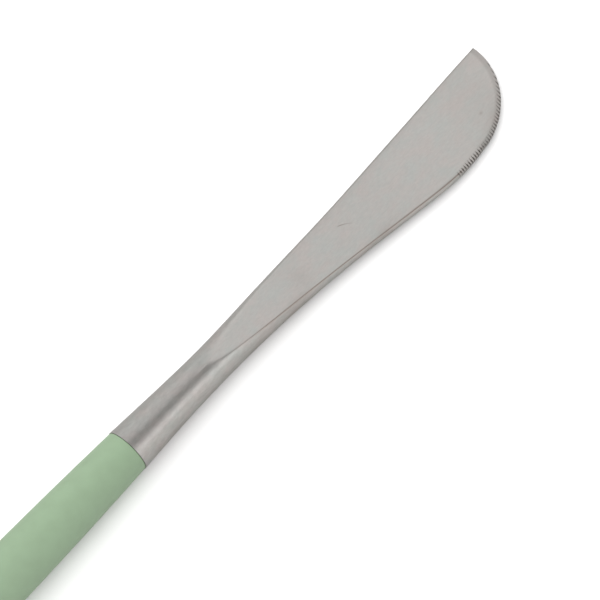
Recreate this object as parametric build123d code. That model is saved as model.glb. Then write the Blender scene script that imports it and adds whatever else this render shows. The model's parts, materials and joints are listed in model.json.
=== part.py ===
from build123d import *
from math import asin, atan, cos, degrees, radians, sin, sqrt, tan
import os

# Sculpting spatula: a forged steel blade whose tang is bonded into a turned handle.
#
# Everything is first modelled in the tool's own frame, in millimetres:
#   X runs along the handle axis towards the blade tip, X = 0 is where steel meets handle,
#   +Y is the straight spine of the blade, -Y its curved belly, Z is the thickness.
# At the end the finished tool is laid down the way it rests on a bench (bench = Z 0).

# ---------------------------------------------------------------- driving dimensions
OVERALL_LENGTH = 203.0          # blade tip to handle tail
STEEL_LENGTH = 98.5             # bare steel, shoulder to tip

# Handle
JOINT_RADIUS = 4.3              # handle radius at its front face
BELLY_RADIUS = 5.3              # thickest part of the handle
BELLY_FRONT = -50.0             # the belly is a true cylinder between these two stations
BELLY_BACK = -66.0
TAIL_RADIUS = 4.0               # ball that ends the tapering tail
LIP_ROUND = 0.2                 # edge round at the front face

# Neck and blade blank: elliptical sections spaced SECTION_STEP apart, each given as
# (spine y, belly y, half height). The first lies behind the shoulder and the last two beyond
# the nose: they steer the surface and are trimmed away.
SECTION_STEP = 11.5
FIRST_SECTION = -SECTION_STEP
BLANK_SECTIONS = [
    (4.98, -4.98, 4.98),
    (4.38, -4.38, 4.38),
    (3.78, -3.82, 3.80),
    (3.42, -3.71, 3.48),
    (3.65, -4.05, 3.28),
    (3.88, -4.96, 2.82),
    (4.10, -6.32, 2.42),
    (4.58, -8.02, 2.15),
    (5.09, -9.03, 2.00),
    (5.62, -6.60, 1.95),
    (6.02, -4.00, 1.95),
]

# The two ground faces: flat over the blade, run out of the neck on a large wheel radius
FLAT_START = 64.0               # the flat part of both faces begins here
FLAT_HALF_THICKNESS = 0.9       # half thickness of the blade at that station
FLAT_TAPER = 0.012              # each face falls this much per millimetre towards the tip
WHEEL_RADIUS = 450.0
WHEEL_EXIT = 8.0                # the wheel passes clear above the neck before this station

# Nose: part of an ellipse, from where it leaves the belly round to the tip
NOSE_CENTRE = (83.1, 4.9)
NOSE_LENGTH = STEEL_LENGTH - NOSE_CENTRE[0]
NOSE_WIDTH = 13.6
NOSE_START = 85.0               # the belly ends and the ellipse begins here
BEVEL_WIDTH = 0.9               # narrow bevel round the nose, top and bottom
BEVEL_DROP = 0.25
BEVEL_BELOW = 3.0               # the bevel cone is carried this far below and above the face
BEVEL_ABOVE = 0.5
TIP_ROUND = 0.3                 # corner between nose and spine
SPINE_CLEARANCE = 0.1           # keeps that corner's straight side just off the spine

# Serrations: parallel notches filed square to the tool's length across the nose rim
NOTCH_PITCH = 0.585
NOTCH_FIRST = 78.0
NOTCH_LAST = 97.9
NOTCH_REACH = 1.0               # how far each notch runs in from the rim
NOTCH_LONGEST = 1.3             # longest notch, where the rim turns along the notches
NOTCH_DEPTH = 0.5
NOTCH_OPENING = 0.5             # width of a notch at full depth
BELLY_SLOPE = 0.06              # how the belly drops away from the nose under the first notches

# Tang, bore and bond line
TANG_RADIUS = 2.3
TANG_LENGTH = 46.0
TANG_POINT = 0.6                # chamfer on the end of the tang
TANG_ACROSS_FLATS = 3.9
TANG_FLAT_LENGTH = 20.0
KEY_RING_STATIONS = (-8.0, -14.0, -20.0)
KEY_RING_WIDTH = 1.6
KEY_RING_DEPTH = 0.3
BOND_GAP = 0.15
BORE_LENGTH = 48.5
BORE_MOUTH_CHAMFER = 0.5
DRILL_POINT_ANGLE = 118.0
DRILL_POINT_RADIUS = 0.01       # the drill's chisel point
BOND_BEYOND_TANG = 0.8          # bond pushed past the end of the tang

# How the tool lies on the bench
ROLL = 0.7                      # the heavier belly side of the blade hangs down a little
REST_STATION = 96.0             # where the nose rim touches the bench
SURFACE_TOLERANCE = 0.01        # how closely the laid tool is measured

# ---------------------------------------------------------------- worked-out values
CUT = 20.0                      # generous size for cutting bodies
OVERRUN = 1.0                   # how far a cut carries on past the metal
BORE_RADIUS = TANG_RADIUS + BOND_GAP
TAIL_POLE = STEEL_LENGTH - OVERALL_LENGTH
FLAT_ANGLE = atan(FLAT_TAPER)


def face_height(station):
    """Height of the flat part of the upper face above the tool axis."""
    return FLAT_HALF_THICKNESS - FLAT_TAPER * (station - FLAT_START)


def across(station, y=0.0):
    """Plane square to the tool axis, its local x along +Y and its local y along +Z."""
    return Plane(origin=(station, y, 0), x_dir=(0, 1, 0), z_dir=(1, 0, 0))


def rod(radius, start, end):
    """Plain cylinder on the tool axis between two stations."""
    return extrude(across(start) * Circle(radius), amount=end - start)


def cone(start, start_radius, end, end_radius):
    """Frustum on the tool axis between two stations."""
    return loft([across(start) * Circle(start_radius), across(end) * Circle(end_radius)], ruled=True)


# ---------------------------------------------------------------- blade
def forged_blank():
    """Round neck swelling into the wide blade, before the faces are ground."""
    sections = []
    for index, (spine, belly, half_height) in enumerate(BLANK_SECTIONS):
        middle = across(FIRST_SECTION + index * SECTION_STEP, (spine + belly) / 2)
        sections.append(middle * Ellipse((spine - belly) / 2, half_height))
    behind_shoulder = Pos(-CUT / 2, 0, 0) * Box(CUT, CUT, CUT)
    return loft(sections) - behind_shoulder


def face_grinding():
    """Everything above the upper ground face: the flat and its wheel run-out."""
    wheel_x = FLAT_START + WHEEL_RADIUS * sin(FLAT_ANGLE)
    wheel_z = FLAT_HALF_THICKNESS + WHEEL_RADIUS * cos(FLAT_ANGLE)

    def wheel_point(station):
        return (station, wheel_z - sqrt(WHEEL_RADIUS**2 - (station - wheel_x) ** 2))

    flat_end_station = STEEL_LENGTH + CUT
    flat_end = (flat_end_station, face_height(flat_end_station))
    flat_start = (FLAT_START, FLAT_HALF_THICKNESS)
    run_out_end = wheel_point(WHEEL_EXIT)
    profile = Line(flat_end, flat_start)
    profile += ThreePointArc(flat_start, wheel_point(FLAT_START / 2), run_out_end)
    profile += Polyline(run_out_end, (run_out_end[0], CUT), (flat_end[0], CUT), flat_end)
    return extrude(Plane.XZ * make_face(profile), amount=CUT, both=True)


def spine_limit(station):
    """Straight line just outside the spine over the nose."""
    start = FIRST_SECTION + (len(BLANK_SECTIONS) - 2) * SECTION_STEP
    spine_start, spine_end = BLANK_SECTIONS[-2][0], BLANK_SECTIONS[-1][0]
    slope = (spine_end - spine_start) / SECTION_STEP
    return spine_start + slope * (station - start) + SPINE_CLEARANCE


def nose_outline():
    """Elliptical nose, cut off along the spine and rounded at the tip."""
    left, right = NOSE_CENTRE[0] - 2 * CUT, NOSE_CENTRE[0] + 2 * CUT
    below_spine = make_face(
        Polyline(
            (left, spine_limit(left)),
            (right, spine_limit(right)),
            (right, -2 * CUT),
            (left, -2 * CUT),
            close=True,
        )
    )
    outline = Pos(*NOSE_CENTRE) * Ellipse(NOSE_LENGTH, NOSE_WIDTH) & below_spine
    tip = outline.vertices().sort_by(lambda corner: corner.X + corner.Y)[-1]
    return fillet(tip, TIP_ROUND)


def nose_envelope():
    """Nose outline with the narrow bevel on both sides."""
    spread = BEVEL_WIDTH / BEVEL_DROP
    wall = extrude(nose_outline(), amount=CUT, both=True)
    on_face = Pos(*NOSE_CENTRE, face_height(NOSE_CENTRE[0])) * Rot(Y=degrees(FLAT_ANGLE))
    rings = []
    for height in (-BEVEL_BELOW, BEVEL_ABOVE):
        inset = BEVEL_WIDTH + spread * height
        rings.append(on_face * Pos(Z=height) * Ellipse(NOSE_LENGTH - inset, NOSE_WIDTH - inset))
    upper_bevel = loft(rings, ruled=True)
    return wall & upper_bevel & mirror(upper_bevel, Plane.XY)


def nose_trimming():
    """Metal removed beyond the end of the belly to leave the rounded nose."""
    beyond = Pos(NOSE_START + CUT, 0, 0) * Box(2 * CUT, 2 * CUT, CUT)
    return beyond - nose_envelope()


def rim_offset(station, inset):
    """Y of the notched rim at a station, moved in from the outline by an inset."""
    along = (max(station, NOSE_START) - NOSE_CENTRE[0]) / (NOSE_LENGTH - inset)
    nose = NOSE_CENTRE[1] - (NOSE_WIDTH - inset) * sqrt(max(0.0, 1 - along**2))
    return nose - BELLY_SLOPE * max(0.0, NOSE_START - station)


def notch(station):
    """V-shaped file cut that deepens from the face out to the rim."""
    rim = rim_offset(station, 0.0)
    inner = min(rim_offset(station, NOTCH_REACH), rim + NOTCH_LONGEST)
    reach = inner - rim
    top = face_height(station)
    down_slope = (0, -reach, -NOTCH_DEPTH)
    cutter_plane = Plane(origin=(station, inner, top), x_dir=(1, 0, 0), z_dir=down_slope)
    half_opening = NOTCH_OPENING / 2
    vee = Polyline((0, 0), (half_opening, NOTCH_DEPTH), (-half_opening, NOTCH_DEPTH), close=True)
    return extrude(cutter_plane * make_face(vee), amount=reach + OVERRUN)


def serrations():
    """All the notches, evenly spaced from the belly round to the tip."""
    count = int((NOTCH_LAST - NOTCH_FIRST) / NOTCH_PITCH) + 1
    return [notch(NOTCH_FIRST + index * NOTCH_PITCH) for index in range(count)]


def tang():
    """Round tang with key rings near the shoulder and two flats near its end."""
    body = rod(TANG_RADIUS, -(TANG_LENGTH - TANG_POINT), 0)
    body += cone(-TANG_LENGTH, TANG_RADIUS - TANG_POINT, TANG_POINT - TANG_LENGTH, TANG_RADIUS)
    for station in KEY_RING_STATIONS:
        ring = rod(TANG_RADIUS + OVERRUN, station - KEY_RING_WIDTH, station)
        body -= ring - rod(TANG_RADIUS - KEY_RING_DEPTH, station - KEY_RING_WIDTH, station)
    flat_middle = TANG_FLAT_LENGTH / 2 - TANG_LENGTH
    for side in (1, -1):
        flat_centre = side * (TANG_ACROSS_FLATS / 2 + TANG_RADIUS)
        body -= Pos(flat_middle, 0, flat_centre) * Box(TANG_FLAT_LENGTH, CUT, 2 * TANG_RADIUS)
    return body


def blade():
    """Blade, neck and tang, forged in one piece and ground."""
    upper = face_grinding()
    steel = forged_blank() - upper - mirror(upper, Plane.XY)
    steel -= nose_trimming()
    steel -= serrations()
    return steel + tang()


# ---------------------------------------------------------------- handle and bond
def front_profile():
    """Handle outline from its front face to the belly, one arc level with the belly."""
    swell = BELLY_RADIUS - JOINT_RADIUS
    arc = (BELLY_FRONT**2 + swell**2) / (2 * swell)
    half_turn = asin(-BELLY_FRONT / arc) / 2
    middle = (BELLY_FRONT + arc * sin(half_turn), BELLY_RADIUS - arc * (1 - cos(half_turn)))
    return ThreePointArc((0, JOINT_RADIUS), middle, (BELLY_FRONT, BELLY_RADIUS))


def tail_profile():
    """Handle outline from the belly to the tail: a long arc that blends into a ball end."""
    ball_x = TAIL_POLE + TAIL_RADIUS
    run = BELLY_BACK - ball_x
    drop = BELLY_RADIUS - TAIL_RADIUS
    arc = (run**2 + BELLY_RADIUS**2 - TAIL_RADIUS**2) / (2 * drop)
    turn = asin(run / (arc - TAIL_RADIUS))
    half_turn = turn / 2
    middle = (BELLY_BACK - arc * sin(half_turn), BELLY_RADIUS - arc * (1 - cos(half_turn)))
    touch = (ball_x - TAIL_RADIUS * sin(turn), TAIL_RADIUS * cos(turn))
    ball_turn = (turn + radians(90)) / 2
    ball_middle = (ball_x - TAIL_RADIUS * sin(ball_turn), TAIL_RADIUS * cos(ball_turn))
    long_arc = ThreePointArc((BELLY_BACK, BELLY_RADIUS), middle, touch)
    return long_arc + ThreePointArc(touch, ball_middle, (TAIL_POLE, 0))


def handle():
    """Turned grip with a rounded edge where it meets the steel."""
    outline = Line((0, 0), (0, JOINT_RADIUS))
    outline += front_profile()
    outline += Line((BELLY_FRONT, BELLY_RADIUS), (BELLY_BACK, BELLY_RADIUS))
    outline += tail_profile()
    outline += Line((TAIL_POLE, 0), (0, 0))
    grip = revolve(make_face(outline), Axis.X)
    grip = fillet(grip.edges().filter_by(GeomType.CIRCLE).sort_by(Axis.X)[-1], LIP_ROUND)
    return grip - bore()


def bore():
    """Drilled blind hole for the tang, chamfered at the mouth."""
    point_length = BORE_RADIUS / tan(radians(DRILL_POINT_ANGLE / 2))
    hole = rod(BORE_RADIUS, -BORE_LENGTH, 0)
    hole += cone(-BORE_LENGTH - point_length, DRILL_POINT_RADIUS, -BORE_LENGTH, BORE_RADIUS)
    return hole + bore_mouth()


def bore_mouth():
    """Chamfer that takes the squeezed-out bond at the front face."""
    return cone(-BORE_MOUTH_CHAMFER, BORE_RADIUS, 0, BORE_RADIUS + BORE_MOUTH_CHAMFER)


def tang_bond():
    """Cured adhesive that fills the gap round the tang, its key rings and its flats."""
    return rod(BORE_RADIUS, -TANG_LENGTH - BOND_BEYOND_TANG, 0) + bore_mouth() - tang()


# ---------------------------------------------------------------- lay the tool down
def lay_on_bench(parts):
    """Roll and pitch the tool onto its belly and nose rim, bench at Z 0."""
    fall = BELLY_RADIUS - face_height(REST_STATION)
    pitch = degrees(asin(fall / (REST_STATION - BELLY_FRONT)))
    laid = {name: Rot(Y=pitch) * Rot(X=ROLL) * part for name, part in parts.items()}
    surface = [point for part in laid.values() for point in part.tessellate(SURFACE_TOLERANCE)[0]]
    xs = [point.X for point in surface]
    ys = [point.Y for point in surface]
    zs = [point.Z for point in surface]
    to_origin = Pos(-(min(xs) + max(xs)) / 2, -(min(ys) + max(ys)) / 2, -min(zs))
    return {name: to_origin * part for name, part in laid.items()}


os.makedirs("parts", exist_ok=True)
tool = lay_on_bench({"blade": blade(), "handle": handle(), "tang_adhesive": tang_bond()})
for name, part in tool.items():
    export_step(part, f"parts/{name}.step")
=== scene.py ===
import json
import math

import bmesh
import bpy
import numpy as np
from mathutils import Matrix, Vector


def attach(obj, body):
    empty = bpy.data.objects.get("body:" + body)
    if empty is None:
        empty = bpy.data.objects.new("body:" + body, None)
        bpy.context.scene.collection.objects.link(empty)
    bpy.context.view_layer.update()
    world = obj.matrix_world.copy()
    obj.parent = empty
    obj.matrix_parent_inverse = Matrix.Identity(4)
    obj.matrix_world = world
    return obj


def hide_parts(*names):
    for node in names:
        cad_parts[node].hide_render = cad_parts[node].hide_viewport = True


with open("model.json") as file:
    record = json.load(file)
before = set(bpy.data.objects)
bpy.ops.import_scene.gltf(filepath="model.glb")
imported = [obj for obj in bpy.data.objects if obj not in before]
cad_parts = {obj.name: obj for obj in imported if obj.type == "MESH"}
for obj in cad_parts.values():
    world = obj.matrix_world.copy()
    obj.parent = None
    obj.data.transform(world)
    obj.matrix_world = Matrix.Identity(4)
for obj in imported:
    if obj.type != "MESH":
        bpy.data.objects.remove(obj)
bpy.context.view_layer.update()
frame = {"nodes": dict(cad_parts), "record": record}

# Looks for the sculpting spatula: a satin ground steel blade and a smooth pale green handle.
# Lengths are millimetres in the tool's own frame (X along the handle axis to the blade tip,
# X = 0 at the joint, +Y the straight spine, Z the thickness); TOOL turns them into the frame.
MM = 0.001

# ---------------------------------------------------------------- the tool's own frame
mounts = {mount["name"]: mount for mount in frame["record"]["mounts"]}
grip_mount = mounts["grip_belly"]
tool_x = -Vector(grip_mount["axis"]).normalized()
face_normal = -Vector(mounts["blade_back_face"]["axis"])
tool_y = face_normal.cross(tool_x).normalized()
tool_z = tool_x.cross(tool_y)
grip_middle = Vector(grip_mount["pos_m"])


def along_axis(node):
    """Smallest and largest position of a CAD node along the tool axis, from the grip's middle."""
    mesh = frame["nodes"][node].data
    places = [(vertex.co - grip_middle).dot(tool_x) for vertex in mesh.vertices]
    return min(places), max(places)


tail_pole, joint = (value / MM for value in along_axis("handle"))
tang_end, steel_tip = (value / MM for value in along_axis("blade"))
joint_point = grip_middle + tool_x * joint * MM
TOOL = Matrix.Translation(joint_point) @ Matrix((tool_x, tool_y, tool_z)).transposed().to_4x4()
HAIR = 0.006                    # thins and shortens the smooth pieces to stay inside the CAD
TAIL_POLE = tail_pole - joint + HAIR
TANG_END = tang_end - joint
TIP = steel_tip - joint - HAIR

# ---------------------------------------------------------------- shape, as in the CAD
BELLY_RADIUS = grip_mount["dims"]["r_mm"] - HAIR
BELLY_FRONT = grip_mount["dims"]["length_mm"] / 2 - joint
BELLY_BACK = BELLY_FRONT - grip_mount["dims"]["length_mm"]
JOINT_RADIUS = 4.3
TAIL_RADIUS = 4.0               # ball that ends the handle
LIP_ROUND = 0.2                 # edge round at the handle's front face
LIP_RISE = 0.008                # how much the handle has already swelled behind that edge

# Elliptical sections of the forged blank, SECTION_STEP apart, the first one step behind the
# joint. The last belly values differ from the CAD's, so that a plain cubic follows its loft.
SECTION_STEP = 11.5
SPINE = (4.98, 4.38, 3.78, 3.42, 3.65, 3.88, 4.10, 4.58, 5.09, 5.62, 6.02)
BELLY = (4.98, 4.38, 3.82, 3.71, 4.05, 4.96, 6.32, 8.02, 9.01, 6.60, 0.50)
HALF_HEIGHT = (4.98, 4.38, 3.80, 3.48, 3.28, 2.82, 2.42, 2.15, 2.00, 1.95, 1.95)

# Ground faces: flat over the blade, run out of the neck on a large wheel radius
FLAT_START = 64.0
FLAT_HALF_THICKNESS = 0.9 - HAIR
FLAT_TAPER = 0.012
WHEEL_RADIUS = 450.0
CREASE_ROUND = 0.06             # softening of the line where face and forged side meet
NECK_ROUND = 0.35               # added on the spine side, where the face melts into the neck
MELT_END = 52.0                 # station where that added softening has faded out
MELT_LENGTH = 24.0

# Nose: part of an ellipse round to the tip, with a narrow bevel and file-cut notches
NOSE_X, NOSE_Y = 83.1, 4.9
NOSE_LENGTH = TIP - NOSE_X
NOSE_WIDTH = 13.6
NOSE_START = 85.0
BEVEL_WIDTH = 0.9
BEVEL_DROP = 0.25
TIP_ROUND = 0.3
SPINE_CLEARANCE = 0.1
NOTCH_PITCH = 0.585
NOTCH_FIRST = 78.0
NOTCH_LAST = 97.9
NOTCH_REACH = 1.0
NOTCH_LONGEST = 1.3
NOTCH_DEPTH = 0.5
NOTCH_OPENING = 0.5
BELLY_SLOPE = 0.06

# Hidden parts: tang and bore
TANG_RADIUS = 2.3
TANG_FLAT = 1.95
TANG_FLAT_LENGTH = 20.0
TANG_POINT = 0.6
KEY_RINGS = (-8.0, -14.0, -20.0)
KEY_RING_WIDTH = 1.6
KEY_RING_DEPTH = 0.3
BORE_RADIUS = 2.45
BORE_LENGTH = 48.5
BORE_MOUTH = 0.5
DRILL_POINT = 1.47

# Marks on the steel
SKIN_BLEND = 0.4                # height over which the ground face turns into forged skin
CREASE_LINE_WIDTH = 0.11               # height over which the dark line along the crease fades
CREASE_LINE_START = 20.0               # it grows from this station
CREASE_LINE_GROWTH = 16.0
CREASE_LINE_OVERLAP = 2.0              # and fades out over this length past the first notch
NOSE_FADE = 4.0                 # length over which the darkened nose band begins

# ---------------------------------------------------------------- mesh density
SPINE_COLUMNS = 11              # from the spine to the crease beside it
FACE_COLUMNS = 29               # from crease to crease
BELLY_COLUMNS = 17              # from the other crease, or the notches' inner ends, to the rim
NECK_ROWS = 170
TIP_ROWS = 24
ROWS_PER_NOTCH = 12
ROWS_BEFORE_NOTCHES = 30
ROWS_AFTER_NOTCHES = 8
BAND_LEAD = 2.0                 # length before the notches where the belly crease's columns join them
NOTCH_MARGIN = 0.05             # those columns then run this far inside the notches' inner ends
LEAST_REACH = 0.3               # least share of the half width from the middle to a crease
SPINE_MARGIN = 0.01             # least share of the width from the spine to the crease beside it
RIM_MARGIN = 0.02               # from the rim to the belly crease
FACE_MARGIN = 0.3               # from the spine to the belly crease
TANG_CREASE = 0.3               # share of the tang's radius where its columns are packed
STEP_LENGTH = 0.001             # distance between the two rows of a sharp step
MERGE_DISTANCE = 2e-7           # metres
LIP_POINTS = 9
SWELL_POINTS = 60
BELLY_POINTS = 8
TAIL_POINTS = 50
BALL_POINTS = 28
SWELL_GAP = 0.1                 # least distance from the lip to the first ring behind it
BELLY_GAP = 1.0                 # distance from the belly's ends to its own rings
TURNED_SEGMENTS = 128
BLADE_SHARP_ANGLE = 32.0
GRIP_SHARP_ANGLE = 38.0
INSET_STEPS = 6                 # repeats that settle a point's distance from the nose outline
INSET_LOW, INSET_HIGH = -1, 5   # range within which that distance is looked for
LEAST_SLOPE = 1e-6              # keeps that search from dividing by nothing
LEAST_HEIGHT = 1e-6             # the blank has ended where it is lower than this
LEAST_NOTCH = 0.1               # shortest notch that the depth formula works with


# ---------------------------------------------------------------- blade surface
def smooth_curve(values):
    """Natural cubic through the equally spaced section values, as a function of the station."""
    values = np.array(values)
    count = len(values)
    system = np.diag(np.full(count, 4.0))
    system += np.diag(np.ones(count - 1), 1) + np.diag(np.ones(count - 1), -1)
    pull = np.zeros(count)
    pull[1:-1] = 6 * (values[2:] - 2 * values[1:-1] + values[:-2])
    system[0, :2] = 1, 0
    system[-1, -2:] = 0, 1
    bend = np.linalg.solve(system, pull)

    def curve(station):
        place = (np.asarray(station, float) + SECTION_STEP) / SECTION_STEP
        left = np.clip(np.floor(place).astype(int), 0, count - 2)
        part = place - left
        rest = 1 - part
        line = values[left] * rest + values[left + 1] * part
        sag = bend[left] * (rest**3 - rest) + bend[left + 1] * (part**3 - part)
        return line + sag / 6

    return curve


spine_at = smooth_curve(SPINE)
belly_at = smooth_curve(BELLY)
height_at = smooth_curve(HALF_HEIGHT)


def face_at(x):
    """Height of the ground face: flat towards the tip, wheel run-out towards the neck."""
    angle = math.atan(FLAT_TAPER)
    wheel_x = FLAT_START + WHEEL_RADIUS * math.sin(angle)
    wheel_z = FLAT_HALF_THICKNESS + WHEEL_RADIUS * math.cos(angle)
    flat = FLAT_HALF_THICKNESS - FLAT_TAPER * (x - FLAT_START)
    wheel = wheel_z - np.sqrt(WHEEL_RADIUS**2 - (x - wheel_x) ** 2)
    return np.where(x > FLAT_START, flat, wheel)


def nose_reach(x, inset=0.0):
    """Half width of the nose ellipse at a station, with the ellipse drawn in by an inset."""
    along = np.clip((x - NOSE_X) / (NOSE_LENGTH - inset), 0, 1)
    return (NOSE_WIDTH - inset) * np.sqrt(1 - along**2)


def rim_at(x):
    """Y of the belly-side outline."""
    return np.where(x > NOSE_START, NOSE_Y - nose_reach(x), -belly_at(x))


def top_at(x):
    """Y of the spine-side outline, with the tip's rounded corner."""
    last_rise = (SPINE[-1] - SPINE[-2]) / SECTION_STEP
    last_station = SECTION_STEP * (len(SPINE) - 2)
    edge = SPINE[-1] + last_rise * (TIP - last_station) + SPINE_CLEARANCE
    corner_y = edge - TIP_ROUND
    nose_end = NOSE_X + NOSE_LENGTH * math.sqrt(1 - ((corner_y - NOSE_Y) / NOSE_WIDTH) ** 2)
    corner_x = nose_end - TIP_ROUND
    past_corner = np.maximum(x - corner_x, 0)
    corner = corner_y + np.sqrt(np.maximum(TIP_ROUND**2 - past_corner**2, 0))
    return np.minimum(np.minimum(spine_at(x), corner), NOSE_Y + nose_reach(x))


def nose_inset(x, y):
    """How far a point lies in from the nose outline, by Newton's method."""
    along = np.maximum(x - NOSE_X, 0)
    side = NOSE_Y - y
    inset = np.zeros_like(along)
    for _ in range(INSET_STEPS):
        length, width = NOSE_LENGTH - inset, NOSE_WIDTH - inset
        miss = (along / length) ** 2 + (side / width) ** 2 - 1
        slope = 2 * along**2 / length**3 + 2 * side**2 / width**3
        inset = np.clip(inset - miss / np.maximum(slope, LEAST_SLOPE), INSET_LOW, INSET_HIGH)
    return inset


def softer(a, b, width):
    """Smaller of two heights, with the line between them rounded over a width."""
    overlap = np.maximum(width - np.abs(a - b), 0) / width
    return np.minimum(a, b) - overlap**2 * width / 4


def ease(value):
    """Smooth step from 0 to 1."""
    value = np.clip(value, 0, 1)
    return value * value * (3 - 2 * value)


def notched_rim(x, inset):
    """Y of the rim the notches are laid out from, moved in by an inset."""
    nose = NOSE_Y - nose_reach(np.maximum(x, NOSE_START), inset)
    return nose - BELLY_SLOPE * np.maximum(0, NOSE_START - x)


def notch_depth(x, y):
    """Depth of the file-cut notches under the face, zero between them."""
    index = np.round((x - NOTCH_FIRST) / NOTCH_PITCH)
    last = math.floor((NOTCH_LAST - NOTCH_FIRST) / NOTCH_PITCH)
    station = NOTCH_FIRST + np.clip(index, 0, last) * NOTCH_PITCH
    rim = notched_rim(station, 0.0)
    inner = np.minimum(notched_rim(station, NOTCH_REACH), rim + NOTCH_LONGEST)
    floor = NOTCH_DEPTH * (inner - y) / np.maximum(inner - rim, LEAST_NOTCH)
    return np.maximum(floor - np.abs(x - station) * NOTCH_DEPTH / (NOTCH_OPENING / 2), 0)


def forged_height(x, y):
    """Half height of the forged blank at a point of the plan, and the middle of its section."""
    spine, belly, tall = spine_at(x), belly_at(np.minimum(x, NOSE_START)), height_at(x)
    middle = (spine - belly) / 2
    across = (y - middle) / ((spine + belly) / 2)
    return tall * np.sqrt(np.maximum(1 - across**2, 0)), middle


def steel_height(x, y, notched):
    """Half thickness of the blade and neck at a point of the plan."""
    forged, middle = forged_height(x, y)
    ground = face_at(x)
    inset = nose_inset(x, y)
    bevel = BEVEL_DROP * (1 - np.clip(inset, 0, BEVEL_WIDTH) / BEVEL_WIDTH)
    ground = ground - bevel * (x > NOSE_START)
    melt = NECK_ROUND * (y > middle) * ease((MELT_END - x) / MELT_LENGTH)
    height = np.where(forged < LEAST_HEIGHT, 0, softer(forged, ground, CREASE_ROUND + melt))
    if notched:
        height = np.minimum(height, face_at(x) - notch_depth(x, y))
    return np.maximum(height, 0)


def crease_mark(x, y):
    """Strength of the dark line where the face meets the forged belly side."""
    forged, middle = forged_height(x, y)
    line = np.exp(-(((forged - face_at(x)) / CREASE_LINE_WIDTH) ** 2))
    growth = ease((x - CREASE_LINE_START) / CREASE_LINE_GROWTH)
    end = ease((NOTCH_FIRST + CREASE_LINE_OVERLAP - x) / CREASE_LINE_OVERLAP)
    return line * (y < middle) * growth * end


# ---------------------------------------------------------------- blade mesh
def row_columns(spine, crease_spine, crease_belly, rim):
    """Y values across one row, packed closely at both rims and both creases."""
    rim_pack = 1 - np.cos(np.linspace(0, math.pi / 2, SPINE_COLUMNS))
    face_pack = (1 - np.cos(np.linspace(0, math.pi, FACE_COLUMNS))) / 2
    band_pack = 1 - np.cos(np.linspace(0, math.pi / 2, BELLY_COLUMNS))
    near_spine = spine + (crease_spine - spine) * rim_pack
    middle = crease_spine + (crease_belly - crease_spine) * face_pack
    near_rim = (rim + (crease_belly - rim) * band_pack)[::-1]
    return np.concatenate((near_spine, middle[1:-1], near_rim))


def notch_line(x):
    """Y just inside the inner ends of the notches."""
    reached = float(notched_rim(x, NOTCH_REACH))
    longest = float(notched_rim(x, 0)) + NOTCH_LONGEST
    return min(reached, longest) + NOTCH_MARGIN


def steel_row(x):
    """Plan positions of the columns in one row of the blade."""
    spine, tall = float(spine_at(x)), float(height_at(x))
    belly = float(belly_at(min(x, NOSE_START)))
    half, middle = (spine + belly) / 2, (spine - belly) / 2
    top, rim = float(top_at(x)), float(rim_at(x))
    width = top - rim
    cut = min(float(face_at(x)) / tall, 1)
    reach = max(math.sqrt(1 - cut**2), LEAST_REACH) * half
    in_band = float(ease((x - NOTCH_FIRST) / BAND_LEAD + 1))
    crease_belly = middle - reach + (notch_line(x) - middle + reach) * in_band
    crease_belly = min(max(crease_belly, rim + RIM_MARGIN * width), top - FACE_MARGIN * width)
    crease_spine = min(middle + reach, top - SPINE_MARGIN * width)
    ys = row_columns(top, crease_spine, crease_belly, rim)
    return np.full_like(ys, x), ys


def stations():
    """Stations of the blade rows: coarse along the neck, fine across the notches."""
    fine = NOTCH_PITCH / ROWS_PER_NOTCH
    first = NOTCH_FIRST - ROWS_BEFORE_NOTCHES * fine
    neck = np.linspace(0, first - fine, NECK_ROWS)
    notched = np.arange(first, NOTCH_LAST + ROWS_AFTER_NOTCHES * fine, fine)
    start = math.asin((notched[-1] + fine - NOSE_X) / NOSE_LENGTH)
    tip = NOSE_X + NOSE_LENGTH * np.sin(np.linspace(start, math.pi / 2, TIP_ROWS))
    return np.concatenate((neck, notched, tip))


def tang_rows():
    """Stations and radii of the tang, from its point to the shoulder."""
    rows = [(TANG_END, TANG_RADIUS - TANG_POINT), (TANG_END + TANG_POINT, TANG_RADIUS)]
    flat_end = TANG_END + TANG_FLAT_LENGTH
    rows += [(flat_end - STEP_LENGTH, TANG_RADIUS), (flat_end, TANG_RADIUS)]
    for ring in reversed(KEY_RINGS):
        groove = (ring - KEY_RING_WIDTH, ring)
        rows += [(groove[0], TANG_RADIUS), (groove[0], TANG_RADIUS - KEY_RING_DEPTH)]
        rows += [(groove[1], TANG_RADIUS - KEY_RING_DEPTH), (groove[1], TANG_RADIUS)]
    rows.append((0.0, TANG_RADIUS))
    return rows


def blade_grid():
    """Upper and lower surface points of the whole steel piece, row by row."""
    upper, lower = [], []
    for x, radius in tang_rows():
        ys = row_columns(radius, TANG_CREASE * radius, -TANG_CREASE * radius, -radius)
        zs = np.sqrt(np.maximum(radius**2 - ys**2, 0))
        if x < TANG_END + TANG_FLAT_LENGTH:
            zs = np.minimum(zs, TANG_FLAT)
        upper.append(np.stack((np.full_like(ys, x), ys, zs), 1))
        lower.append(np.stack((np.full_like(ys, x), ys, -zs), 1))
    for x in stations():
        xs, ys = steel_row(float(x))
        upper.append(np.stack((xs, ys, steel_height(xs, ys, True)), 1))
        lower.append(np.stack((xs, ys, -steel_height(xs, ys, False)), 1))
    return np.array(upper), np.array(lower)


def new_piece(name, points, faces, material, node):
    """Mesh piece from points in the tool's frame, standing for a CAD node."""
    mesh = bpy.data.meshes.new(name)
    mesh.from_pydata([tuple(TOOL @ (Vector(point) * MM)) for point in points], [], faces)
    mesh.validate()
    mesh.update()
    piece = bpy.data.objects.new(name, mesh)
    bpy.context.scene.collection.objects.link(piece)
    mesh.materials.append(material)
    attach(piece, "root")
    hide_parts(node)
    return piece


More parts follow.
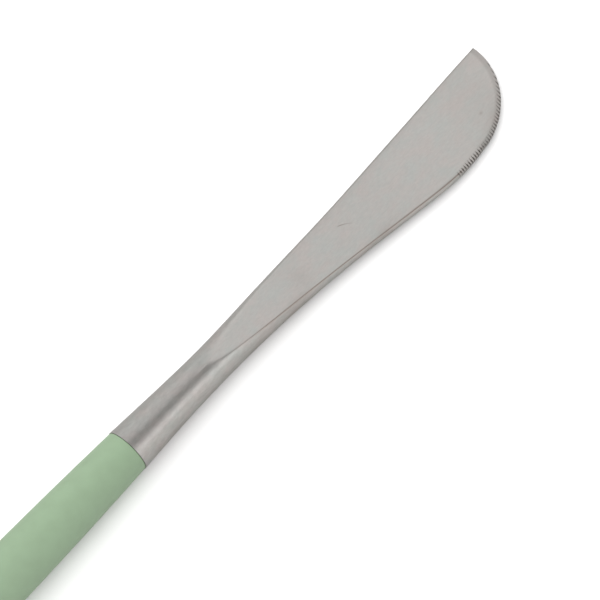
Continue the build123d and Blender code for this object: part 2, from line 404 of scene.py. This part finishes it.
def tidy_mesh(piece, sharp_angle):
    """Merge doubled points, turn faces outward and smooth all but the sharp edges."""
    work = bmesh.new()
    work.from_mesh(piece.data)
    bmesh.ops.remove_doubles(work, verts=work.verts, dist=MERGE_DISTANCE)
    bmesh.ops.dissolve_degenerate(work, edges=work.edges, dist=MERGE_DISTANCE)
    bmesh.ops.recalc_face_normals(work, faces=work.faces)
    work.to_mesh(piece.data)
    work.free()
    piece.data.shade_smooth()
    piece.data.set_sharp_from_angle(angle=math.radians(sharp_angle))


def skin_faces(rows, columns):
    """Faces of an upper and a lower grid of points, and of the walls that close them."""
    under = rows * columns
    faces = []
    for row in range(rows - 1):
        for column in range(columns - 1):
            a = row * columns + column
            b = a + columns
            faces.append((a, b, b + 1, a + 1))
            faces.append((under + a, under + a + 1, under + b + 1, under + b))
        for edge in (0, columns - 1):
            a = row * columns + edge
            b = a + columns
            faces.append((a, under + a, under + b, b))
    for column in range(columns - 1):
        for row in (0, rows - 1):
            a = row * columns + column
            faces.append((a, a + 1, under + a + 1, under + a))
    return faces


def store_masks(piece):
    """Values on the steel's points that its material reads, named after what they measure."""
    inverse = TOOL.inverted()
    local = np.array([inverse @ vertex.co for vertex in piece.data.vertices]) / MM
    x, y, z = local.T
    inside = np.clip(x, 0, TIP)
    upper = z > 0
    front = upper & (x > 0)
    forged, _ = forged_height(inside, y)
    masks = {
        "station": x,
        "across": y,
        "front": front,
        "rim_distance": np.where(x > NOSE_START, nose_inset(x, y), y - rim_at(inside)),
        "spine_distance": top_at(inside) - y,
        "nose": ease((x - NOTCH_FIRST) / NOSE_FADE) * upper,
        "notch": notch_depth(x, y) / NOTCH_DEPTH * front * (x > NOTCH_FIRST - NOTCH_OPENING),
        "crease": crease_mark(inside, y) * upper,
        "skin": ease((face_at(inside) - forged) / SKIN_BLEND + 0.5),
    }
    for name, values in masks.items():
        attribute = piece.data.attributes.new(name, "FLOAT", "POINT")
        attribute.data.foreach_set("value", np.asarray(values, np.float32))


def build_blade(material):
    """The steel piece: tang, neck and serrated blade in one closed skin."""
    upper, lower = blade_grid()
    points = np.concatenate((upper.reshape(-1, 3), lower.reshape(-1, 3)))
    faces = skin_faces(*upper.shape[:2])
    piece = new_piece("steel_blade", points, faces, material, "blade")
    tidy_mesh(piece, BLADE_SHARP_ANGLE)
    store_masks(piece)


# ---------------------------------------------------------------- handle mesh
def arc_points(centre, radius, start, end, count):
    """Points on an arc, angles measured from +X."""
    angles = np.linspace(start, end, count)
    return [(centre[0] + radius * math.cos(a), centre[1] + radius * math.sin(a)) for a in angles]


def handle_profile():
    """Outline of the grip from the bore's mouth round to the drill point."""
    quarter = math.pi / 2
    swell = BELLY_RADIUS - JOINT_RADIUS
    front = (BELLY_FRONT**2 + swell**2) / (2 * swell)
    front_turn = math.asin(-BELLY_FRONT / front)
    ball_x = TAIL_POLE + TAIL_RADIUS
    run = BELLY_BACK - ball_x
    drop = BELLY_RADIUS - TAIL_RADIUS
    tail = (run**2 + BELLY_RADIUS**2 - TAIL_RADIUS**2) / (2 * drop)
    tail_turn = math.asin(run / (tail - TAIL_RADIUS))
    lip_centre = (-LIP_ROUND, JOINT_RADIUS - LIP_ROUND + LIP_RISE)
    swell_centre = (BELLY_FRONT, BELLY_RADIUS - front)
    tail_centre = (BELLY_BACK, BELLY_RADIUS - tail)
    ball_start = quarter + tail_turn
    swelling = arc_points(swell_centre, front, quarter - front_turn, quarter, SWELL_POINTS)
    belly = np.linspace(BELLY_FRONT - BELLY_GAP, BELLY_BACK + BELLY_GAP, BELLY_POINTS)
    profile = [(0.0, BORE_RADIUS + BORE_MOUTH)]
    profile += arc_points(lip_centre, LIP_ROUND, 0, quarter, LIP_POINTS)
    profile += [point for point in swelling if point[0] < -LIP_ROUND - SWELL_GAP]
    profile += [(x, BELLY_RADIUS) for x in belly]
    profile += arc_points(tail_centre, tail, quarter, ball_start, TAIL_POINTS)
    profile += arc_points((ball_x, 0), TAIL_RADIUS, ball_start, math.pi, BALL_POINTS)[1:]
    return profile


def bore_profile():
    """Blind bore from its drill point out to the chamfered mouth."""
    end = -BORE_LENGTH
    return [
        (end - DRILL_POINT, 0.0),
        (end, BORE_RADIUS),
        (-BORE_MOUTH, BORE_RADIUS),
        (0.0, BORE_RADIUS + BORE_MOUTH),
    ]


def turned(profile):
    """Points and faces of a profile turned round the tool axis."""
    points, faces = [], []
    for x, radius in profile:
        for step in range(TURNED_SEGMENTS):
            angle = 2 * math.pi * step / TURNED_SEGMENTS
            points.append((x, radius * math.cos(angle), radius * math.sin(angle)))
    for ring in range(len(profile) - 1):
        for step in range(TURNED_SEGMENTS):
            a = ring * TURNED_SEGMENTS + step
            b = ring * TURNED_SEGMENTS + (step + 1) % TURNED_SEGMENTS
            faces.append((a, b, b + TURNED_SEGMENTS, a + TURNED_SEGMENTS))
    return points, faces


def build_handle(material):
    """The green grip with its blind bore."""
    points, faces = turned(handle_profile())
    bore_points, bore_faces = turned(bore_profile())
    base = len(points)
    faces += [tuple(base + index for index in face) for face in bore_faces]
    piece = new_piece("grip", points + bore_points, faces, material, "handle")
    tidy_mesh(piece, GRIP_SHARP_ANGLE)


# ---------------------------------------------------------------- materials
class Nodes:
    """Short-hand for wiring a material's node tree."""

    def __init__(self, name):
        self.material = bpy.data.materials.new(name)
        self.material.use_nodes = True
        self.tree = self.material.node_tree
        self.shader = self.tree.nodes["Principled BSDF"]
        self.place = self.add("ShaderNodeTexCoord").outputs["Object"]

    def add(self, kind, **settings):
        """New node with some of its settings."""
        node = self.tree.nodes.new(kind)
        for key, value in settings.items():
            setattr(node, key, value)
        return node

    def link(self, source, target):
        """Wire an output to an input."""
        self.tree.links.new(source, target)

    def noise(self, scale, stretch=(1, 1, 1), detail=2.0, rough=0.5):
        """Noise over the object; scale is features per metre, stretch slows it along an axis."""
        mapping = self.add("ShaderNodeMapping")
        mapping.inputs["Scale"].default_value = stretch
        self.link(self.place, mapping.inputs["Vector"])
        texture = self.add("ShaderNodeTexNoise")
        texture.inputs["Scale"].default_value = scale
        texture.inputs["Detail"].default_value = detail
        texture.inputs["Roughness"].default_value = rough
        self.link(mapping.outputs["Vector"], texture.inputs["Vector"])
        return texture.outputs["Fac"]

    def spread(self, source, low, high, to_low=0.0, to_high=1.0):
        """Map a value range to another, clamped."""
        node = self.add("ShaderNodeMapRange")
        node.inputs["From Min"].default_value = low
        node.inputs["From Max"].default_value = high
        node.inputs["To Min"].default_value = to_low
        node.inputs["To Max"].default_value = to_high
        self.link(source, node.inputs["Value"])
        return node.outputs["Result"]

    def maths(self, operation, a, b):
        """One sum on two numbers or outputs."""
        node = self.add("ShaderNodeMath", operation=operation)
        for socket, value in zip(node.inputs, (a, b)):
            if isinstance(value, (int, float)):
                socket.default_value = value
            else:
                self.link(value, socket)
        return node.outputs["Value"]

    def fade(self, name, full, end, strength):
        """Strength that is full up to one stored value and gone at another."""
        return self.spread(self.attribute(name), full, end, strength, 0.0)

    def along(self, name, centre, size):
        """Distance from a centre in one of the stored directions, as a share of a size."""
        shifted = self.maths("SUBTRACT", self.attribute(name), centre)
        return self.maths("DIVIDE", shifted, size)

    def hump(self, *distances):
        """One at distance zero, fading smoothly with the distances."""
        total = 0.0
        for distance in distances:
            total = self.maths("ADD", total, self.maths("MULTIPLY", distance, distance))
        return self.maths("EXPONENT", self.maths("MULTIPLY", total, -1.0), 0.0)

    def grey(self, value):
        """Colour with the same value in all three channels."""
        node = self.add("ShaderNodeCombineColor")
        for socket in node.inputs[:3]:
            self.link(value, socket)
        return node.outputs["Color"]

    def mix(self, factor, a, b, blend="MIX"):
        """Blend of two colours; a colour mix takes its factor at socket 0, colours at 6 and 7."""
        node = self.add("ShaderNodeMix", data_type="RGBA", blend_type=blend)
        for socket, value in ((node.inputs[0], factor), (node.inputs[6], a), (node.inputs[7], b)):
            if isinstance(value, (int, float)):
                socket.default_value = value
            elif isinstance(value, tuple):
                socket.default_value = (*value, 1)
            else:
                self.link(value, socket)
        return node.outputs[2]

    def attribute(self, name):
        """Value stored on the mesh's points."""
        return self.add("ShaderNodeAttribute", attribute_name=name).outputs["Fac"]

    def bump(self, height, distance, strength):
        """Normal tilted by a height; distance in metres."""
        node = self.add("ShaderNodeBump")
        node.inputs["Distance"].default_value = distance
        node.inputs["Strength"].default_value = strength
        self.link(height, node.inputs["Height"])
        return node.outputs["Normal"]


# Noise layers: features per metre, stretch, detail, roughness
CLOUD_NOISE = (330, (0.7, 1, 1), 4.0, 0.6)
GRAIN_NOISE = (2600, (0.35, 1, 1), 3.0, 0.7)
SKIN_NOISE = (1300, (0.5, 1, 1), 3.0, 0.6)
PATCH_NOISE = (210, (0.35, 1, 1), 2.0, 0.5)
BRUSH_NOISE = (9000, (0.02, 1, 1), 2.0, 0.5)
WAVE_NOISE = (700, (0.5, 1, 1), 2.0, 0.5)
GRIP_NOISE = (420, (1, 1, 1), 3.0, 0.5)
GRIP_GLOSS_NOISE = (900, (1, 1, 1), 2.0, 0.5)
GRIP_SKIN_NOISE = (3200, (1, 1, 1), 2.0, 0.5)
BOND_NOISE = (900, (1, 1, 1), 3.0, 0.5)
BENCH_NOISE = (60, (1, 1, 1), 2.0, 0.5)

# Noise values from which a blend starts and where it is complete
NOISE_SPAN = (0.3, 0.7)
CLOUD_SPAN = (0.36, 0.64)
PATCH_SPAN = (0.42, 0.68)
GRIP_SPAN = (0.35, 0.65)

STEEL_WARM = (0.695, 0.655, 0.63)
STEEL_COOL = (0.66, 0.665, 0.64)
STEEL_STAIN = (0.36, 0.30, 0.27)
EDGE_SHADE = (0.36, 0.34, 0.325)
# colour of the painted shade inside the notches
NOTCH_PAINTED_SHADE = (0.22, 0.21, 0.20)
SKIN_SHADE = (0.80, 0.80, 0.80)
GRAIN_TONES = (0.955, 1.045)
SKIN_TONES = (0.93, 1.06)
STEEL_ROUGHNESS = (0.30, 0.37)
BRUSH_RELIEF = (0.15, 0.03)     # share of the brushing in the relief, on the face and the skin
STEEL_RELIEF = (0.00002, 0.3)   # depth in metres, strength

# Darkened edges: distance from the edge to which each is full, where it ends, its strength
SPINE_HAZE = (0.0, 2.0, 0.12)
SPINE_LINE = (0.15, 0.35, 0.5)
NOSE_BAND = (0.8, 1.3, 1.0)
NOSE_LINE = (0.05, 0.3, 0.12)
BAND_STATIONS = (88.0, 94.0)    # between these the nose band grows from one strength to the other
BAND_STRENGTHS = (0.12, 0.42)

NOTCH_SHADE_DEPTH = 0.22              # share of the notch depth where the painted shade in the notches is complete
NOTCH_SHADE_STATIONS = (88.0, 93.0)   # between these it thins from one strength to the other
NOTCH_SHADE_STRENGTHS = (0.48, 0.26)
PATCH_REACH = (0.4, 2.4)        # tarnish lies within these distances of the rim
PATCH_STRENGTH = 0.45
FACE_STAINS = (                 # ((station, across), (length, width), strength)
    ((43.8, -0.9), (2.0, 2.4), 0.12),
    ((89.6, -3.7), (0.42, 0.26), 0.35),
    ((92.0, -2.0), (8.0, 9.0), 0.11),
)
SCRATCH_AT = (56.9, -0.1)
SCRATCH_TURN = -33.0            # degrees from the tool axis
SCRATCH_HALF = 1.4              # half its length
SCRATCH_SWING = 0.14            # how far its middle bows sideways
SCRATCH_WIDTH = 0.09
SCRATCH_SPAN = (-0.6, 0.4)      # shares of the half length between which it weakens
SCRATCH_STRENGTHS = (0.8, 0.35)

GREEN = (0.210, 0.294, 0.191)
GREEN_DEEP = (0.201, 0.280, 0.182)
GREEN_LIGHT = (0.219, 0.308, 0.201)
GRIP_ROUGHNESS = (0.42, 0.5)
GRIP_IOR = 1.46
GRIP_SUBSURFACE = 0.05
GRIP_SUBSURFACE_REACH = (0.001, 0.0012, 0.0008)
GRIP_RELIEF = (0.00001, 0.15)

BOND_DEEP = (0.60, 0.49, 0.26)
BOND_LIGHT = (0.70, 0.60, 0.36)
BOND_ROUGHNESS = (0.35, 0.55)
BOND_RELIEF = (0.00005, 0.4)

BENCH_LOW = (0.90, 0.90, 0.90)
BENCH_HIGH = (0.92, 0.92, 0.92)
BENCH_MIRRORED = (0.45, 0.445, 0.44)
BENCH_ROUGHNESS = 0.9


def scratch(n):
    """Short curved scratch lying slantwise in the middle of the upper face."""
    station = n.maths("SUBTRACT", n.attribute("station"), SCRATCH_AT[0])
    across = n.maths("SUBTRACT", n.attribute("across"), SCRATCH_AT[1])
    turn = math.radians(SCRATCH_TURN)
    forward = n.maths("MULTIPLY", station, math.cos(turn))
    forward = n.maths("ADD", forward, n.maths("MULTIPLY", across, math.sin(turn)))
    forward = n.maths("DIVIDE", forward, SCRATCH_HALF)
    sideways = n.maths("MULTIPLY", across, math.cos(turn))
    sideways = n.maths("SUBTRACT", sideways, n.maths("MULTIPLY", station, math.sin(turn)))
    swing = n.maths("SUBTRACT", 1.0, n.maths("MULTIPLY", forward, forward))
    sideways = n.maths("SUBTRACT", sideways, n.maths("MULTIPLY", swing, SCRATCH_SWING))
    line = n.hump(n.maths("DIVIDE", sideways, SCRATCH_WIDTH), n.maths("POWER", forward, 4.0))
    line = n.maths("MULTIPLY", line, n.spread(forward, *SCRATCH_SPAN, *SCRATCH_STRENGTHS))
    return n.maths("MULTIPLY", line, n.attribute("front"))


def edge_shade(n):
    """Darkening along the spine and, more strongly, over the band round the nose."""
    spine = n.maths("ADD", n.fade("spine_distance", *SPINE_HAZE), n.fade("spine_distance", *SPINE_LINE))
    spine = n.maths("MULTIPLY", spine, n.attribute("front"))
    growth = n.spread(n.attribute("station"), *BAND_STATIONS, *BAND_STRENGTHS)
    band = n.maths("MULTIPLY", n.fade("rim_distance", *NOSE_BAND), growth)
    band = n.maths("ADD", band, n.fade("rim_distance", *NOSE_LINE))
    band = n.maths("MULTIPLY", band, n.attribute("nose"))
    return n.maths("MINIMUM", n.maths("ADD", band, spine), 1.0)


def notch_painted_shade(n):
    """Painted shade in the notches, thinner towards the tip."""
    strength = n.spread(n.attribute("station"), *NOTCH_SHADE_STATIONS, *NOTCH_SHADE_STRENGTHS)
    return n.maths("MULTIPLY", n.spread(n.attribute("notch"), 0.0, NOTCH_SHADE_DEPTH), strength)


def clean_steel(n):
    """Cloudy, finely grained steel, darker and more mottled on the forged skin."""
    cloud = n.spread(n.noise(*CLOUD_NOISE), *CLOUD_SPAN)
    base = n.mix(cloud, STEEL_COOL, STEEL_WARM)
    grain = n.spread(n.noise(*GRAIN_NOISE), *NOISE_SPAN, *GRAIN_TONES)
    base = n.mix(1.0, base, n.grey(grain), "MULTIPLY")
    skin = n.attribute("skin")
    base = n.mix(skin, base, n.mix(1.0, base, SKIN_SHADE, "MULTIPLY"))
    mottle = n.spread(n.noise(*SKIN_NOISE), *NOISE_SPAN, *SKIN_TONES)
    return n.mix(skin, base, n.mix(1.0, base, n.grey(mottle), "MULTIPLY"))


def marked_steel(n):
    """Steel with tarnish beside the rim, stains, the scratch, the dark crease line, darkened edges and
    painted shade in the notches.
    """
    beside_rim = n.spread(n.attribute("rim_distance"), *PATCH_REACH, 1.0, 0.0)
    patches = n.spread(n.noise(*PATCH_NOISE), *PATCH_SPAN, 0.0, PATCH_STRENGTH)
    base = n.mix(n.maths("MULTIPLY", beside_rim, patches), clean_steel(n), STEEL_STAIN)
    for (station, across), (length, width), strength in FACE_STAINS:
        mark = n.hump(n.along("station", station, length), n.along("across", across, width))
        mark = n.maths("MULTIPLY", mark, n.maths("MULTIPLY", n.attribute("front"), strength))
        base = n.mix(mark, base, STEEL_STAIN)
    base = n.mix(scratch(n), base, STEEL_STAIN)
    # dark line along the crease, in the stain colour
    base = n.mix(n.attribute("crease"), base, STEEL_STAIN)
    base = n.mix(edge_shade(n), base, EDGE_SHADE)
    # darker inside the notches: painted shade
    return n.mix(notch_painted_shade(n), base, NOTCH_PAINTED_SHADE)


def steel_material():
    """Satin ground stainless: long fine brushing over a slight waviness."""
    n = Nodes("satin_steel")
    n.link(marked_steel(n), n.shader.inputs["Base Color"])
    n.shader.inputs["Metallic"].default_value = 1.0
    brushing = n.noise(*BRUSH_NOISE)
    n.link(n.spread(brushing, *NOISE_SPAN, *STEEL_ROUGHNESS), n.shader.inputs["Roughness"])
    relief_share = n.spread(n.attribute("skin"), 0.0, 1.0, *BRUSH_RELIEF)
    lines = n.maths("MULTIPLY", brushing, relief_share)
    height = n.maths("ADD", lines, n.noise(*WAVE_NOISE))
    n.link(n.bump(height, *STEEL_RELIEF), n.shader.inputs["Normal"])
    return n.material


def grip_material():
    """Smooth satin moulded plastic in pale green, very slightly mottled."""
    n = Nodes("pale_green_grip")
    mottle = n.spread(n.noise(*GRIP_NOISE), *GRIP_SPAN)
    colour = n.mix(0.5, n.mix(mottle, GREEN_DEEP, GREEN_LIGHT), GREEN)
    n.link(colour, n.shader.inputs["Base Color"])
    gloss = n.spread(n.noise(*GRIP_GLOSS_NOISE), *NOISE_SPAN, *GRIP_ROUGHNESS)
    n.link(gloss, n.shader.inputs["Roughness"])
    n.shader.inputs["IOR"].default_value = GRIP_IOR
    n.shader.inputs["Subsurface Weight"].default_value = GRIP_SUBSURFACE
    n.shader.inputs["Subsurface Radius"].default_value = GRIP_SUBSURFACE_REACH
    n.link(n.bump(n.noise(*GRIP_SKIN_NOISE), *GRIP_RELIEF), n.shader.inputs["Normal"])
    return n.material


def bond_material():
    """Cured adhesive, hidden between tang and bore."""
    n = Nodes("cured_bond")
    cloud = n.noise(*BOND_NOISE)
    colour = n.mix(n.spread(cloud, *NOISE_SPAN), BOND_DEEP, BOND_LIGHT)
    n.link(colour, n.shader.inputs["Base Color"])
    n.link(n.spread(cloud, *NOISE_SPAN, *BOND_ROUGHNESS), n.shader.inputs["Roughness"])
    n.link(n.bump(cloud, *BOND_RELIEF), n.shader.inputs["Normal"])
    return n.material


def bench_material():
    """White bench top, overexposed to the eye; the steel mirrors it as a mid grey."""
    n = Nodes("white_bench")
    white = n.mix(n.spread(n.noise(*BENCH_NOISE), *NOISE_SPAN), BENCH_LOW, BENCH_HIGH)
    mirrored = n.add("ShaderNodeLightPath").outputs["Is Glossy Ray"]
    n.link(n.mix(mirrored, white, BENCH_MIRRORED), n.shader.inputs["Base Color"])
    n.shader.inputs["Roughness"].default_value = BENCH_ROUGHNESS
    n.shader.inputs["Specular IOR Level"].default_value = 0.0
    return n.material


# ---------------------------------------------------------------- pieces
build_blade(steel_material())
build_handle(grip_material())
bond = frame["nodes"]["tang_adhesive"]
bond.data.materials.clear()
bond.data.materials.append(bond_material())

# ---------------------------------------------------------------- camera
CAMERA_ELEVATION = math.radians(70.06)
CAMERA_TURN = math.radians(48.27)
CAMERA_DISTANCE = 0.8
CAMERA_LENS = 276.0
SENSOR_WIDTH = 36.0
CLIP_START, CLIP_END = 0.01, 20.0
AIM_RIGHT = 0.029985            # the picture's centre, seen from the joint
AIM_UP = 0.026226

picture_right = Vector((math.cos(CAMERA_TURN), -math.sin(CAMERA_TURN), 0))
picture_away = Vector((math.sin(CAMERA_TURN), math.cos(CAMERA_TURN), 0))
straight_up = Vector((0, 0, 1))
to_camera = straight_up * math.sin(CAMERA_ELEVATION) - picture_away * math.cos(CAMERA_ELEVATION)
picture_up = to_camera.cross(picture_right)


def add_camera():
    """Camera at the photograph's angle."""
    camera = bpy.data.objects.new("camera", bpy.data.cameras.new("camera"))
    bpy.context.scene.collection.objects.link(camera)
    camera.data.lens = CAMERA_LENS
    camera.data.sensor_width = SENSOR_WIDTH
    aim = joint_point + picture_right * AIM_RIGHT + picture_up * AIM_UP
    place = Matrix((picture_right, picture_up, to_camera)).transposed().to_4x4()
    camera.matrix_world = Matrix.Translation(aim + to_camera * CAMERA_DISTANCE) @ place
    camera.data.clip_start = CLIP_START
    camera.data.clip_end = CLIP_END
    bpy.context.scene.camera = camera


add_camera()


# ---------------------------------------------------------------- bench and light
BENCH_HALF = 1.5
ROOM_TINT = (1.0, 0.99, 0.975, 1)
WALL_GLOW = 0.72
NEAR_WALL_GLOW = 0.16           # added towards the belly side
CEILING_GLOW = 0.24
WALL_TOP = (0.2, 0.5)           # height of a direction where the walls give way to the ceiling
PANEL_HEIGHT = 0.30
PANEL_WIDTH = 1.2
FAR_PANEL_EDGE = 0.120          # the steel mirrors the gap between the panels as its dark band
NEAR_PANEL_EDGE = -0.033
FAR_PANEL_GLOW = 0.53
NEAR_PANEL_GLOW = 0.86
NEAR_PANEL_DEPTH = 3.0
FAR_PANEL_DEPTH = 0.7
OVERHEAD_SIZE = 2.0
OVERHEAD_POWER = 21.3
OVERHEAD_PLACE = (0.06, 0.54, 0.93)


def add_bench():
    """Plain pale bench top at Z 0, far wider than the picture."""
    low, high = -BENCH_HALF, BENCH_HALF
    corners = [(low, low, 0), (high, low, 0), (high, high, 0), (low, high, 0)]
    mesh = bpy.data.meshes.new("bench")
    mesh.from_pydata(corners, [], [(0, 1, 2, 3)])
    bench = bpy.data.objects.new("bench", mesh)
    bpy.context.scene.collection.objects.link(bench)
    mesh.materials.append(bench_material())


def glow_blend(tree, source, start, end, low, high, kind="LINEAR"):
    """Glow that goes from low to high while a part of the direction goes from start to end."""
    blend = tree.nodes.new("ShaderNodeMapRange")
    blend.interpolation_type = kind
    blend.inputs["From Min"].default_value = start
    blend.inputs["From Max"].default_value = end
    blend.inputs["To Min"].default_value = low
    blend.inputs["To Max"].default_value = high
    tree.links.new(source, blend.inputs["Value"])
    return blend.outputs["Result"]


def light_room():
    """Pale walls round the bench under a dim ceiling."""
    world = bpy.data.worlds.new("surroundings")
    bpy.context.scene.world = world
    world.use_nodes = True
    tree = world.node_tree
    background = tree.nodes["Background"]
    background.inputs["Color"].default_value = ROOM_TINT
    coordinates = tree.nodes.new("ShaderNodeTexCoord")
    direction = tree.nodes.new("ShaderNodeSeparateXYZ")
    tree.links.new(coordinates.outputs["Generated"], direction.inputs[0])
    height, side = direction.outputs["Z"], direction.outputs["Y"]
    walls = glow_blend(tree, height, *WALL_TOP, WALL_GLOW, CEILING_GLOW, "SMOOTHSTEP")
    near_side = glow_blend(tree, side, 0.0, -1.0, 0.0, NEAR_WALL_GLOW)
    total = tree.nodes.new("ShaderNodeMath")
    total.operation = "ADD"
    tree.links.new(walls, total.inputs[0])
    tree.links.new(near_side, total.inputs[1])
    tree.links.new(total.outputs["Value"], background.inputs["Strength"])


def add_panel(name, start, end, glow):
    """Horizontal light panel above the bench between two distances along the view."""
    depth = abs(end - start)
    light = bpy.data.lights.new(name, "AREA")
    light.shape = "RECTANGLE"
    light.size, light.size_y = PANEL_WIDTH, depth
    light.energy = glow * math.pi * PANEL_WIDTH * depth
    lamp = bpy.data.objects.new(name, light)
    middle = joint_point + picture_away * (start + end) / 2
    facing = Matrix((picture_right, picture_away, straight_up)).transposed().to_4x4()
    lamp.matrix_world = Matrix.Translation((middle.x, middle.y, PANEL_HEIGHT)) @ facing
    lamp.visible_camera = False
    bpy.context.scene.collection.objects.link(lamp)


def add_overhead():
    """Broad soft lamp that whitens the bench and lights the grip; the steel does not mirror it."""
    light = bpy.data.lights.new("overhead", "AREA")
    light.shape = "SQUARE"
    light.size = OVERHEAD_SIZE
    light.energy = OVERHEAD_POWER
    lamp = bpy.data.objects.new("overhead", light)
    lamp.location = OVERHEAD_PLACE
    lamp.rotation_mode = "QUATERNION"
    lamp.rotation_quaternion = lamp.location.to_track_quat("Z", "Y")
    lamp.visible_glossy = False
    bpy.context.scene.collection.objects.link(lamp)


add_bench()
light_room()
add_panel("far_panel", FAR_PANEL_EDGE, FAR_PANEL_EDGE + FAR_PANEL_DEPTH, FAR_PANEL_GLOW)
add_panel("near_panel", NEAR_PANEL_EDGE - NEAR_PANEL_DEPTH, NEAR_PANEL_EDGE, NEAR_PANEL_GLOW)
add_overhead()

bpy.context.scene.view_settings.view_transform = "Standard"
